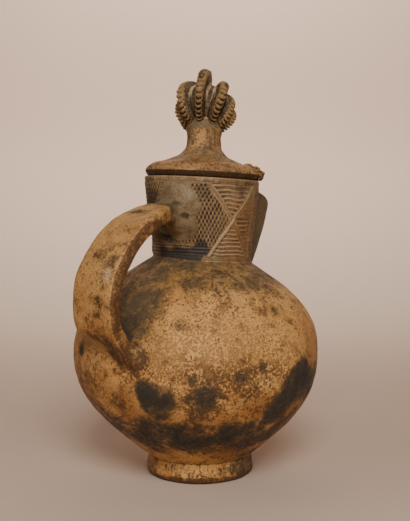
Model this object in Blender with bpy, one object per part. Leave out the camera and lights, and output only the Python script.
# Anthropomorphic clay jug with a loose lid.
# The jug is one piece of fired clay: foot, round belly, incised neck, strap handle and beak spout.
# The lid is a second piece, and its knob is a small head with a crested hairstyle.
# Metres, +Z up. The origin is the middle of the foot's underside, +X points to the spout, -X to the handle.

import math

import bmesh
import bpy
from mathutils import Matrix, Vector

# Vessel, outside
FOOT_BASE_RADIUS = 0.0388
FOOT_RADIUS = 0.0435
FOOT_EDGE_HEIGHT = 0.0058
WAIST_RADIUS = 0.0418
WAIST_HEIGHT = 0.0164
BELLY_RADIUS = 0.0983
BELLY_HEIGHT = 0.1000
BELLY_SHIFT = 0.0052
NECK_SHIFT = 0.0031
NECK_BASE_RADIUS = 0.0396
NECK_BASE_HEIGHT = 0.1743
SHOULDER_FILLET = 0.0018
RIM_RADIUS = 0.0459
NECK_LENGTH = 0.0631
RIM_HEIGHT = NECK_BASE_HEIGHT + NECK_LENGTH
RIM_FALL = 0.076
LOWER_FULLNESS = 2.5
UPPER_FULLNESS = 2.4

# Vessel, inside
WALL = 0.0065
NECK_WALL = 0.0058
FLOOR_THICKNESS = 0.0080

# Incised neck: crosses of raised bands, with grooves above and below each crossing
RIM_BAND = 0.0045
PATTERN_FOOT = 0.0020
CROSS_CENTRES = (106.0, 180.0, 254.0)
CROSS_BORDERS = (68.0, 143.0, 217.0, 292.0)
CROSS_HALF_ANGLE = 28.0
BAND_HALF_WIDTH = 0.0018
BAND_RELIEF = 0.0009
GROOVES = 15
GROOVE_DEPTH = 0.0009

# Handle
HANDLE_REACH = 0.1235
HANDLE_WIDTH = 0.0425
HANDLE_THICKNESS = 0.0110
HANDLE_TOP_DROP = 0.0189
HANDLE_FOOT_RISE = 0.0050
HANDLE_TOP = RIM_HEIGHT - HANDLE_TOP_DROP
HANDLE_FOOT = BELLY_HEIGHT + HANDLE_FOOT_RISE
HANDLE_NECK_SIDE = -0.0050
HANDLE_BELLY_SIDE = -0.0005
NECK_PADS = ((194.0, 0.0194, 0.0235, 0.0165, 0.0046), (199.0, 0.0389, 0.0130, 0.0115, 0.0046))

# Spout
SPOUT_RADIUS = 0.0240
SPOUT_WALL = 0.0050
SPOUT_REACH = 0.0752
SPOUT_FOOT_REACH = 0.0468
SPOUT_FOOT_DROP = 0.0053
SPOUT_MOUTH_DROP = 0.0084
SPOUT_FOOT_HEIGHT = NECK_BASE_HEIGHT - SPOUT_FOOT_DROP
SPOUT_MOUTH_HEIGHT = RIM_HEIGHT - SPOUT_MOUTH_DROP
SPOUT_MOUTH_FALL = 0.286
SPOUT_FLOOR = 0.0080
WINDOW_WIDTH = 0.0200
WINDOW_TOP_DROP = 0.0110

# Lid
LID_RADIUS = 0.0462
LID_GAP = 0.0004
LID_EDGE = 0.0060
LID_CONE_HEIGHT = 0.0144
STEM_RADIUS = 0.0133
PLUG_CLEARANCE = 0.0020
PLUG_DEPTH = 0.0070
PLUG_WALL = 0.0050
LUG_ANGLE = 302.0
LUG_SIZE = 0.0052

# Head on the lid
HEAD_HEIGHT = 0.0563
HEAD_TURN = 23.0
CROWN_REACH = 0.0316
CREST_HALF_WIDTH = 0.0031
CREST_TEETH = 9
TOOTH_DEPTH = 0.0010
FACE_DEPTH = 0.0195
FACE_WIDTH = 0.0300
FACE_LENGTH = 0.0400

# How finely round things are divided
BODY_STEPS = 6
NECK_STEPS = 2 * GROOVES
SPOUT_SIDE_COLUMNS = 10
CAVITY_COLUMNS = 32
CAVITY_STEPS = 6
HANDLE_STATIONS = 20
HANDLE_SIDES = 12
SPOUT_ARC_POINTS = 9
LID_COLUMNS = 36


def smooth(share):
    """An S-shaped blend from 0 to 1."""
    share = min(1.0, max(0.0, share))
    return share * share * (3.0 - 2.0 * share)


def blend(low, high, share):
    return low + (high - low) * share


def curve_through(points, share):
    """A point on a smooth curve that passes through evenly timed points."""
    last = len(points) - 1
    place_on = min(max(share, 0.0), 1.0) * last
    span = min(int(place_on), last - 1)
    t = place_on - span
    before, start = points[max(span - 1, 0)], points[span]
    end, after = points[span + 1], points[min(span + 2, last)]
    return tuple(
        0.5 * (2 * b + (c - a) * t + (2 * a - 5 * b + 4 * c - d) * t**2 + (3 * b - a - 3 * c + d) * t**3)
        for a, b, c, d in zip(before, start, end, after)
    )


def clay(name, colour, roughness):
    """A fired clay finish."""
    made = bpy.data.materials.new(name)
    made.use_nodes = True
    shader = made.node_tree.nodes["Principled BSDF"]
    shader.inputs["Base Color"].default_value = (*colour, 1.0)
    shader.inputs["Roughness"].default_value = roughness
    shader.inputs["Metallic"].default_value = 0.0
    made.diffuse_color = (*colour, 1.0)
    return made


def mesh_object(name, points, faces, material=None):
    """A linked object whose faces point outwards."""
    mesh = bpy.data.meshes.new(name)
    mesh.from_pydata([tuple(p) for p in points], [], faces)
    shape = bmesh.new()
    shape.from_mesh(mesh)
    bmesh.ops.recalc_face_normals(shape, faces=shape.faces)
    shape.to_mesh(mesh)
    shape.free()
    if material:
        mesh.materials.append(material)
    made = bpy.data.objects.new(name, mesh)
    bpy.context.scene.collection.objects.link(made)
    return made


def skin(name, rings, start_point, end_point, material=None):
    """A closed solid from rings of equally many points, closed by a fan at each end."""
    count = len(rings[0])
    points = [start_point]
    for ring in rings:
        points.extend(ring)
    points.append(end_point)
    faces = []
    for column in range(count):
        following = (column + 1) % count
        faces.append((0, 1 + following, 1 + column))
        for row in range(len(rings) - 1):
            low, high = 1 + row * count, 1 + (row + 1) * count
            faces.append((low + column, low + following, high + following, high + column))
        top = 1 + (len(rings) - 1) * count
        faces.append((top + column, top + following, len(points) - 1))
    return mesh_object(name, points, faces, material)


def as_tool(tool):
    """A shape that is only added to or cut from another."""
    tool.hide_render = True
    tool.display_type = "WIRE"
    return tool


def combine(target, tool, operation):
    """Adds the tool to the target, or cuts it away."""
    step = target.modifiers.new(f"{operation.lower()} {tool.name}", "BOOLEAN")
    step.operation = operation
    step.solver = "EXACT"
    step.object = as_tool(tool)


# The vessel's form


def lean(height):
    """How far the hand-built vessel's middle stands from the axis: back at the belly, forward at the neck."""
    if height < BELLY_HEIGHT:
        return -BELLY_SHIFT * smooth((height - WAIST_HEIGHT) / (BELLY_HEIGHT - WAIST_HEIGHT))
    return blend(-BELLY_SHIFT, NECK_SHIFT, smooth((height - BELLY_HEIGHT) / (NECK_BASE_HEIGHT - BELLY_HEIGHT)))


def place(radius, degrees, height):
    """A point of the vessel, whose shoulder, neck and rim fall towards the spout."""
    angle = math.radians(degrees)
    x = radius * math.cos(angle)
    fall = RIM_FALL * smooth((height - BELLY_HEIGHT) / (NECK_BASE_HEIGHT - BELLY_HEIGHT))
    return Vector((x + lean(height), radius * math.sin(angle), height - fall * x))


def lower_radius(height, waist, belly):
    """The belly's radius below its middle."""
    down = max(0.0, (BELLY_HEIGHT - height) / (BELLY_HEIGHT - WAIST_HEIGHT))
    return belly - (belly - waist) * down**LOWER_FULLNESS * (1.6 - 0.6 * down)


def upper_radius(height, belly, neck):
    """The belly's radius above its middle."""
    up = (height - BELLY_HEIGHT) / (NECK_BASE_HEIGHT - SHOULDER_FILLET - BELLY_HEIGHT)
    return belly - (belly - neck) * up**UPPER_FULLNESS * (1.3 - 0.3 * up)


def neck_radius(height):
    """The neck widens from its base to the rim."""
    return blend(NECK_BASE_RADIUS, RIM_RADIUS, smooth((height - NECK_BASE_HEIGHT) / (RIM_HEIGHT - NECK_BASE_HEIGHT)))


def pattern_height(share):
    """The height at a share of the incised zone, from its lower to its upper edge."""
    return blend(NECK_BASE_HEIGHT + PATTERN_FOOT, RIM_HEIGHT - RIM_BAND, share)


def band_half_angle():
    """Half of a raised band's width, as an angle round the neck."""
    rise = (pattern_height(1.0) - pattern_height(0.0)) / 2
    run = math.radians(CROSS_HALF_ANGLE) * NECK_BASE_RADIUS
    return math.degrees(BAND_HALF_WIDTH * math.hypot(rise, run) / rise / NECK_BASE_RADIUS)


def cross_relief(offset, share):
    """Height of the relief at an angle from a cross's middle and a share of the incised zone."""
    opening = abs(2 * share - 1) * CROSS_HALF_ANGLE
    from_band = abs(abs(offset) - opening) / band_half_angle()
    raised = BAND_RELIEF * max(0.0, 1.0 - from_band)
    inside = (opening - abs(offset)) / band_half_angle() - 1.0
    wave = 0.5 - 0.5 * math.cos(2 * math.pi * share * GROOVES)
    return raised - GROOVE_DEPTH * wave * min(1.0, max(0.0, inside))


def pad_relief(degrees, height):
    """Clay smeared round the handle's upper root, and how much of the incised pattern it covers."""
    thick, cover = 0.0, 0.0
    for middle, below_rim, half_across, half_up, relief in NECK_PADS:
        across = math.radians(degrees - middle) * RIM_RADIUS / half_across
        up = (height - RIM_HEIGHT + below_rim) / half_up
        near = smooth(1.35 * (1.0 - math.hypot(across, up)))
        thick = max(thick, relief * near)
        cover = max(cover, min(1.0, 3.0 * near))
    return thick, cover


def incised_columns(share):
    """Angles round the neck that follow the raised bands at a share of the incised zone."""
    band = band_half_angle()
    opening = abs(2 * share - 1) * CROSS_HALF_ANGLE
    inner, ridge, outer = max(opening - band, 0.3 * band), max(opening, 0.45 * band), opening + band
    angles = []
    for middle, low, high in zip(CROSS_CENTRES, CROSS_BORDERS, CROSS_BORDERS[1:]):
        angles += [low, (low + middle - outer) / 2]
        angles += [middle + a for a in (-outer, -ridge, -inner, -inner / 2, 0.0, inner / 2, inner, ridge, outer)]
        angles += [(high + middle + outer) / 2]
    return angles + spout_columns()


def spout_columns():
    """Even angles round the spout's side, from the last cross to the first."""
    start, end = CROSS_BORDERS[-1], CROSS_BORDERS[0] + 360.0
    return [blend(start, end, i / SPOUT_SIDE_COLUMNS) for i in range(SPOUT_SIDE_COLUMNS)]


def even_columns():
    """As many angles as incised_columns gives, evenly spread in each panel."""
    each = (len(incised_columns(0.0)) - SPOUT_SIDE_COLUMNS) // len(CROSS_CENTRES)
    angles = []
    for low, high in zip(CROSS_BORDERS, CROSS_BORDERS[1:]):
        angles += [blend(low, high, i / each) for i in range(each)]
    return angles + spout_columns()


def incised_ring(share):
    """One ring of the incised zone, with bands and grooves in relief."""
    height = pattern_height(share)
    ring = []
    for degrees in incised_columns(share):
        thick, cover = pad_relief(degrees, height)
        nearest = min(CROSS_CENTRES, key=lambda middle: abs(degrees - middle))
        relief = 0.0
        if abs(degrees - nearest) < CROSS_HALF_ANGLE + 2 * band_half_angle():
            relief = cross_relief(degrees - nearest, share)
        ring.append(place(neck_radius(height) + blend(relief, thick, cover), degrees, height))
    return ring


def vessel_outside():
    """The vessel as if it were solid, from the underside to the rim."""
    angles = even_columns()

    def ring(radius, height):
        return [place(radius, a, height) for a in angles]

    edge = (FOOT_BASE_RADIUS + 2 * FOOT_RADIUS) / 3
    rings = [
        ring(FOOT_BASE_RADIUS, 0.0),
        ring(edge, 0.25 * FOOT_EDGE_HEIGHT),
        ring(FOOT_RADIUS, FOOT_EDGE_HEIGHT),
        ring(WAIST_RADIUS, WAIST_HEIGHT),
    ]
    for step in range(1, BODY_STEPS + 1):
        height = blend(WAIST_HEIGHT, BELLY_HEIGHT, step / BODY_STEPS)
        rings.append(ring(lower_radius(height, WAIST_RADIUS, BELLY_RADIUS), height))
    shoulder = NECK_BASE_HEIGHT - SHOULDER_FILLET
    for step in range(1, BODY_STEPS + 1):
        height = blend(BELLY_HEIGHT, shoulder, math.sin(0.5 * math.pi * step / (BODY_STEPS + 1)))
        rings.append(ring(upper_radius(height, BELLY_RADIUS, NECK_BASE_RADIUS), height))
    rings.append(ring(NECK_BASE_RADIUS + SHOULDER_FILLET, shoulder))
    rings += [incised_ring(step / NECK_STEPS) for step in range(NECK_STEPS + 1)]
    rings.append(ring(RIM_RADIUS, RIM_HEIGHT - 0.2 * RIM_BAND))
    rings.append(ring(RIM_RADIUS - 0.2 * NECK_WALL, RIM_HEIGHT))
    middle = RIM_RADIUS - 0.5 * NECK_WALL
    rings.append(ring(middle, RIM_HEIGHT))
    return skin("jug", rings, place(0.0, 0.0, 0.0), place(0.0, 0.0, RIM_HEIGHT))


def vessel_cavity():
    """The empty inside, from the floor out through the mouth."""
    angles = [360.0 * i / CAVITY_COLUMNS for i in range(CAVITY_COLUMNS)]
    floor = WAIST_HEIGHT + FLOOR_THICKNESS
    belly, neck = BELLY_RADIUS - WALL, NECK_BASE_RADIUS - NECK_WALL
    rings = []
    for step in range(CAVITY_STEPS):
        height = blend(floor, BELLY_HEIGHT, step / CAVITY_STEPS)
        rings.append((lower_radius(height, WAIST_RADIUS, BELLY_RADIUS) - WALL * (1.6 - 0.6 * step / CAVITY_STEPS), height))
    rings.append((belly, BELLY_HEIGHT))
    under = NECK_BASE_HEIGHT - SHOULDER_FILLET - 0.6 * WALL
    for step in range(1, CAVITY_STEPS):
        height = blend(BELLY_HEIGHT, under, math.sin(0.5 * math.pi * step / CAVITY_STEPS))
        up = (height - BELLY_HEIGHT) / (under - BELLY_HEIGHT)
        rings.append((belly - (belly - neck) * up**UPPER_FULLNESS * (1.3 - 0.3 * up), height))
    rings.append((neck, NECK_BASE_HEIGHT))
    for share in (0.35, 0.7):
        height = blend(NECK_BASE_HEIGHT, RIM_HEIGHT, share)
        rings.append((neck_radius(height) - NECK_WALL, height))
    rings.append((RIM_RADIUS - NECK_WALL, RIM_HEIGHT))
    rings.append((RIM_RADIUS - NECK_WALL, RIM_HEIGHT + NECK_WALL))
    made = [[place(radius, a, height) for a in angles] for radius, height in rings]
    return skin("cavity", made, place(0.0, 0.0, floor), place(0.0, 0.0, RIM_HEIGHT + NECK_WALL))


# Handle


def handle_path():
    """The strap's middle line, as (distance from the axis, height), from inside the neck to inside the belly."""
    neck = NECK_BASE_RADIUS - NECK_SHIFT
    belly = BELLY_RADIUS + BELLY_SHIFT - WALL
    out = HANDLE_REACH - HANDLE_THICKNESS / 2
    drop = HANDLE_TOP - HANDLE_FOOT
    level = HANDLE_TOP - HANDLE_THICKNESS / 2
    return [
        (neck, level - 0.040 * drop),
        (blend(neck, out, 0.25), level - 0.007 * drop),
        (blend(neck, out, 0.52), level - 0.062 * drop),
        (blend(neck, out, 0.715), level - 0.157 * drop),
        (blend(neck, out, 0.87), level - 0.283 * drop),
        (blend(neck, out, 0.975), level - 0.418 * drop),
        (out, level - 0.557 * drop),
        (blend(neck, out, 0.975), level - 0.685 * drop),
        (blend(neck, out, 0.905), level - 0.775 * drop),
        (blend(neck, out, 0.815), level - 0.860 * drop),
        (belly - 0.4 * WALL, HANDLE_FOOT - 0.3 * WALL),
    ]


def handle():
    """A flat strap with rounded edges that spreads where it joins the neck and the belly."""
    path = handle_path()
    rings, middles = [], []
    for station in range(HANDLE_STATIONS + 1):
        share = station / HANDLE_STATIONS
        reach, height = curve_through(path, share)
        ahead, behind = curve_through(path, min(share + 0.01, 1.0)), curve_through(path, max(share - 0.01, 0.0))
        along = Vector((-(ahead[0] - behind[0]), 0.0, ahead[1] - behind[1])).normalized()
        outward = along.cross(Vector((0.0, 1.0, 0.0)))
        spread = 1.0 + 0.20 * smooth(1 - 5 * share) + 0.22 * smooth(5 * share - 4)
        thicken = 1.0 + 1.1 * smooth(1 - 6 * share) + 0.25 * smooth(6 * share - 5)
        middle = Vector((-reach, blend(HANDLE_NECK_SIDE, HANDLE_BELLY_SIDE, smooth(share)), height))
        middles.append(middle)
        ring = []
        for side in range(HANDLE_SIDES):
            turn = 2 * math.pi * (side + 0.5) / HANDLE_SIDES
            across = math.copysign(abs(math.cos(turn)) ** 0.45, math.cos(turn))
            through = math.copysign(abs(math.sin(turn)) ** 0.60, math.sin(turn))
            ring.append(
                middle
                + Vector((0.0, across * spread * HANDLE_WIDTH / 2, 0.0))
                + outward * (through * thicken * HANDLE_THICKNESS / 2)
            )
        rings.append(ring)
    return skin("handle", rings, middles[0], middles[-1])


# Spout


def spout_outline(nose, reach, back, height):
    """A plan outline of the beak at one height: a round nose and straight sides that run back into the neck."""
    middle = reach - nose
    ring = []
    for step in range(SPOUT_ARC_POINTS):
        turn = math.radians(blend(-90.0, 90.0, step / (SPOUT_ARC_POINTS - 1)))
        ring.append((middle + nose * math.cos(turn), nose * math.sin(turn), height))
    return ring + [(back, nose, height), (back, -nose, height)]


def spout_reach(height):
    """How far the beak stands out at a height, from its foot on the shoulder to its mouth."""
    share = (height - SPOUT_FOOT_HEIGHT) / (SPOUT_MOUTH_HEIGHT - SPOUT_FOOT_HEIGHT)
    return blend(SPOUT_FOOT_REACH, SPOUT_REACH, share**0.85)


def spout_ring(height, inset, back, falling):
    """One ring of the beak or of its channel; the mouth's ring falls outwards."""
    ring = []
    for x, y, z in spout_outline(SPOUT_RADIUS - inset, spout_reach(height) - inset, back, height):
        z -= SPOUT_MOUTH_FALL * (x - NECK_BASE_RADIUS) if falling else 0.0
        ring.append(Vector((x + NECK_SHIFT, y, z - RIM_FALL * x)))
    return ring


def spout():
    """The beak's clay, open at the top."""
    back = 0.5 * SPOUT_RADIUS
    heights = [blend(SPOUT_FOOT_HEIGHT, SPOUT_MOUTH_HEIGHT, s) for s in (0.0, 0.1, 0.25, 0.5, 0.75)]
    rings = [spout_ring(h, 0.0, back, False) for h in heights]
    rings.append(spout_ring(SPOUT_MOUTH_HEIGHT - 0.5 * SPOUT_WALL, 0.0, back, True))
    rings.append(spout_ring(SPOUT_MOUTH_HEIGHT, 0.3 * SPOUT_WALL, back, True))
    low = sum(rings[0], Vector()) / len(rings[0])
    high = sum(rings[-1], Vector()) / len(rings[-1])
    made = skin("spout", rings, low, high)
    combine(made, spout_channel(), "DIFFERENCE")
    return made


def spout_channel():
    """The hollow of the beak, cut before the neck's own wall is added behind it."""
    floor = NECK_BASE_HEIGHT + SPOUT_FLOOR
    back = 0.3 * SPOUT_RADIUS
    heights = [blend(floor, SPOUT_MOUTH_HEIGHT, s) for s in (0.0, 0.15, 0.4, 0.7, 1.0)]
    rings = [spout_ring(h, SPOUT_WALL * (2.0 if h == floor else 1.0), back, False) for h in heights]
    above = SPOUT_MOUTH_HEIGHT + 2 * SPOUT_WALL
    rings.append([p + Vector((0.0, 0.0, above - SPOUT_MOUTH_HEIGHT)) for p in rings[-1]])
    low = sum(rings[0], Vector()) / len(rings[0])
    high = sum(rings[-1], Vector()) / len(rings[-1])
    return skin("channel", rings, low, high)


def pouring_window():
    """An arched opening through the neck's wall, from the inside of the neck into the beak."""
    floor = NECK_BASE_HEIGHT + SPOUT_FLOOR + SPOUT_WALL
    arch = SPOUT_MOUTH_HEIGHT - WINDOW_TOP_DROP - WINDOW_WIDTH / 2
    outline = [(-WINDOW_WIDTH / 2, floor), (WINDOW_WIDTH / 2, floor)]
    for step in range(9):
        turn = math.pi * step / 8
        outline.append((WINDOW_WIDTH / 2 * math.cos(turn), arch + WINDOW_WIDTH / 2 * math.sin(turn)))
    inside, outside = NECK_BASE_RADIUS - 2.5 * NECK_WALL, RIM_RADIUS + 0.6 * NECK_WALL
    rings = [[Vector((x + NECK_SHIFT, y, z - RIM_FALL * x)) for y, z in outline] for x in (inside, outside)]
    ends = [sum(ring, Vector()) / len(ring) for ring in rings]
    return skin("window", rings, ends[0], ends[1])


def jug(material):
    """The vessel with its handle and spout, hollow from the floor to the mouth."""
    made = vessel_outside()
    made.data.materials.append(material)
    combine(made, handle(), "UNION")
    combine(made, spout(), "UNION")
    combine(made, vessel_cavity(), "DIFFERENCE")
    combine(made, pouring_window(), "DIFFERENCE")
    return made


# Lid


def lid_place():
    """Where the lid rests: on the sloping rim, with its own tilt and turn."""
    tilt = Matrix.Rotation(math.atan(RIM_FALL), 4, "Y")
    return Matrix.Translation((NECK_SHIFT, 0.0, RIM_HEIGHT + LID_GAP)) @ tilt


def lid_outline():
    """The lid's turned profile, as (radius, height), from the middle of its underside to the top of its stem."""
    plug = RIM_RADIUS - NECK_WALL - PLUG_CLEARANCE
    top = LID_EDGE + LID_CONE_HEIGHT
    stem_length = HEAD_HEIGHT - top
    return [
        (plug - PLUG_WALL, 0.0),
        (plug - PLUG_WALL, -PLUG_DEPTH),
        (plug, -PLUG_DEPTH),
        (plug, 0.0),
        (LID_RADIUS - 0.4 * LID_EDGE, 0.0),
        (LID_RADIUS, 0.4 * LID_EDGE),
        (LID_RADIUS - 0.15 * LID_EDGE, LID_EDGE),
        (blend(STEM_RADIUS, LID_RADIUS, 0.79), LID_EDGE + 0.27 * LID_CONE_HEIGHT),
        (blend(STEM_RADIUS, LID_RADIUS, 0.40), LID_EDGE + 0.60 * LID_CONE_HEIGHT),
        (blend(STEM_RADIUS, LID_RADIUS, 0.22), LID_EDGE + 0.78 * LID_CONE_HEIGHT),
        (blend(STEM_RADIUS, LID_RADIUS, 0.09), top),
        (1.06 * STEM_RADIUS, top + 0.09 * stem_length),
        (STEM_RADIUS, top + 0.25 * stem_length),
        (1.03 * STEM_RADIUS, top + 0.36 * stem_length),
        (1.18 * STEM_RADIUS, top + 0.52 * stem_length),
        (1.08 * STEM_RADIUS, top + 0.60 * stem_length),
        (0.85 * STEM_RADIUS, top + 0.82 * stem_length),
    ]


def lid_plate():
    """The turned disc with its locating ring underneath and its stem above."""
    rings = []
    for radius, height in lid_outline():
        turns = [2 * math.pi * i / LID_COLUMNS for i in range(LID_COLUMNS)]
        rings.append([Vector((radius * math.cos(a), radius * math.sin(a), height)) for a in turns])
    top = lid_outline()[-1][1]
    return skin("lid", rings, Vector((0.0, 0.0, 0.0)), Vector((0.0, 0.0, top)))


def broken_lug():
    """The rough stub of a broken lug on the lid's edge."""
    shape = bmesh.new()
    bmesh.ops.create_icosphere(shape, subdivisions=1, radius=LUG_SIZE)
    for index, vertex in enumerate(shape.verts):
        vertex.co *= 1.0 + 0.12 * math.sin(7.0 * index)
        vertex.co.x *= 1.2
        vertex.co.z *= 0.9
    angle = math.radians(LUG_ANGLE)
    out = LID_RADIUS - 0.45 * LUG_SIZE
    bmesh.ops.translate(shape, verts=shape.verts, vec=(out * math.cos(angle), out * math.sin(angle), LID_EDGE))
    mesh = bpy.data.meshes.new("lug")
    shape.to_mesh(mesh)
    shape.free()
    made = bpy.data.objects.new("lug", mesh)
    bpy.context.scene.collection.objects.link(made)
    return made


# Head: a ball whose columns run from the nape over the crown to the forehead

CREST_ANGLES = (0.0, 48.0, 86.0, 112.0)
CREST_FEET = (22.0, 18.0, 12.5, 12.5)
CREST_REACHES = (
    (0.60, 0.66, 0.74, 0.86, 0.99, 0.85, 0.52),
    (0.60, 0.68, 0.78, 0.87, 0.85, 0.68, 0.52),
    (0.60, 0.69, 0.78, 0.80, 0.75, 0.60, 0.52),
    (0.60, 0.69, 0.80, 0.83, 0.70, 0.56, 0.52),
)
VALLEY_REACHES = (0.50, 0.52, 0.56, 0.64, 0.68, 0.62, 0.52)
NAPE = Vector((-1.0, 0.0, -1.0)).normalized()
CROWN = Vector((-1.0, 0.0, 1.0)).normalized()
SIDE = Vector((0.0, 1.0, 0.0))


def head_direction(polar, around):
    """The direction at an angle from the nape and an angle round it, 0 over the crown, 180 under the chin."""
    p, a = math.radians(polar), math.radians(around)
    return NAPE * math.cos(p) + (CROWN * math.cos(a) + SIDE * math.sin(a)) * math.sin(p)


def tooth_rows():
    """Polar angles: two for each tooth of the crests, then finer ones down the face."""
    backs = [6.0 + 96.0 * i / (2 * CREST_TEETH) for i in range(2 * CREST_TEETH + 1)]
    return backs + [108.0, 114.0, 120.0, 126.0, 132.0, 139.0, 146.0, 155.0, 165.0, 174.0]


def valley_radius(polar):
    """The reach of the scalp between two crests."""
    return CROWN_REACH * curve_through([(r,) for r in VALLEY_REACHES], polar / 180.0)[0]


def crest_radius(index, polar, row):
    """The reach of one crest's edge, notched along its back part."""
    reach = CROWN_REACH * curve_through([(r,) for r in CREST_REACHES[index]], polar / 180.0)[0]
    notched = row % 2 == 1 and 2 < row < 2 * CREST_TEETH
    return reach - (TOOTH_DEPTH if notched else 0.0)


def face_radius(direction):
    """A calm, plain face at the front of the ball: brow, nose, lips and chin."""
    forward, side, up = direction.x, direction.y, direction.z
    half = (FACE_DEPTH, FACE_WIDTH / 2, FACE_LENGTH / 2)
    radius = 1.0 / math.sqrt((forward / half[0]) ** 2 + (side / half[1]) ** 2 + (up / half[2]) ** 2)
    if forward <= 0.2:
        return radius
    across, level = abs(side / forward), up / forward
    nose = max(0.0, 1.0 - across / 0.17) * smooth((0.24 - level) / 0.5) * smooth((level + 0.36) / 0.12)
    brow = smooth(1.0 - abs(level - 0.30) / 0.14) * smooth((0.75 - across) / 0.2)
    lips = smooth(1.0 - abs(level + 0.52) / 0.12) * smooth((0.38 - across) / 0.2)
    socket = smooth(1.0 - abs(level - 0.08) / 0.2) * smooth(1.0 - abs(across - 0.38) / 0.25)
    return radius + 0.16 * FACE_DEPTH * nose + 0.05 * FACE_DEPTH * (brow + lips) - 0.06 * FACE_DEPTH * socket


def head_ring(row, polar):
    """One ring round the line from the nape to the forehead."""
    reach = 0.75 * CROWN_REACH
    width = math.degrees(CREST_HALF_WIDTH / (reach * math.sin(math.radians(max(polar, 15.0)))))
    crests = [(i, sign * CREST_ANGLES[i]) for i, sign in ((0, 1), (1, 1), (2, 1), (3, 1), (3, -1), (2, -1), (1, -1))]
    ring = []
    for index, around in crests:
        foot = min(2.0 * width, CREST_FEET[index])
        shoulder = min(0.7 * width, 0.6 * foot)
        for offset, on_top in ((-foot, False), (-shoulder, True), (shoulder, True), (foot, False)):
            direction = head_direction(polar, around + offset)
            valley = valley_radius(polar)
            radius = crest_radius(index, polar, row) if on_top else valley
            ring.append(direction * max(radius, valley))
        if index == 3 and around > 0:
            for cheek in (135.0, 150.0, 163.0, 172.0, 180.0, 188.0, 197.0, 210.0, 225.0):
                direction = head_direction(polar, cheek)
                ring.append(direction * face_radius(direction))
    return ring


def head():
    """The whole head, set on the stem and turned with it."""
    rows = tooth_rows()
    rings = [head_ring(row, polar) for row, polar in enumerate(rows)]
    made = skin("head", rings, NAPE * CREST_REACHES[0][0] * CROWN_REACH, -NAPE * CREST_REACHES[0][-1] * CROWN_REACH)
    turn = Matrix.Rotation(math.radians(HEAD_TURN), 4, "Z")
    made.data.transform(Matrix.Translation((0.0, 0.0, HEAD_HEIGHT)) @ turn)
    return made


def lid(material):
    """The plate, stem, lug and head as one piece of clay, resting on the rim."""
    made = lid_plate()
    made.data.materials.append(material)
    combine(made, broken_lug(), "UNION")
    combine(made, head(), "UNION")
    made.matrix_world = lid_place()
    for step in made.modifiers:
        step.object.matrix_world = lid_place()
    return made


def build():
    for old in list(bpy.data.objects):
        bpy.data.objects.remove(old, do_unlink=True)
    ochre = clay("ochre fired clay", (0.32, 0.19, 0.085), 0.55)
    brown = clay("brown fired clay", (0.24, 0.14, 0.07), 0.6)
    for piece in (jug(ochre), lid(brown)):
        piece.data.set_sharp_from_angle(angle=math.radians(40))
    bpy.context.view_layer.update()


build()
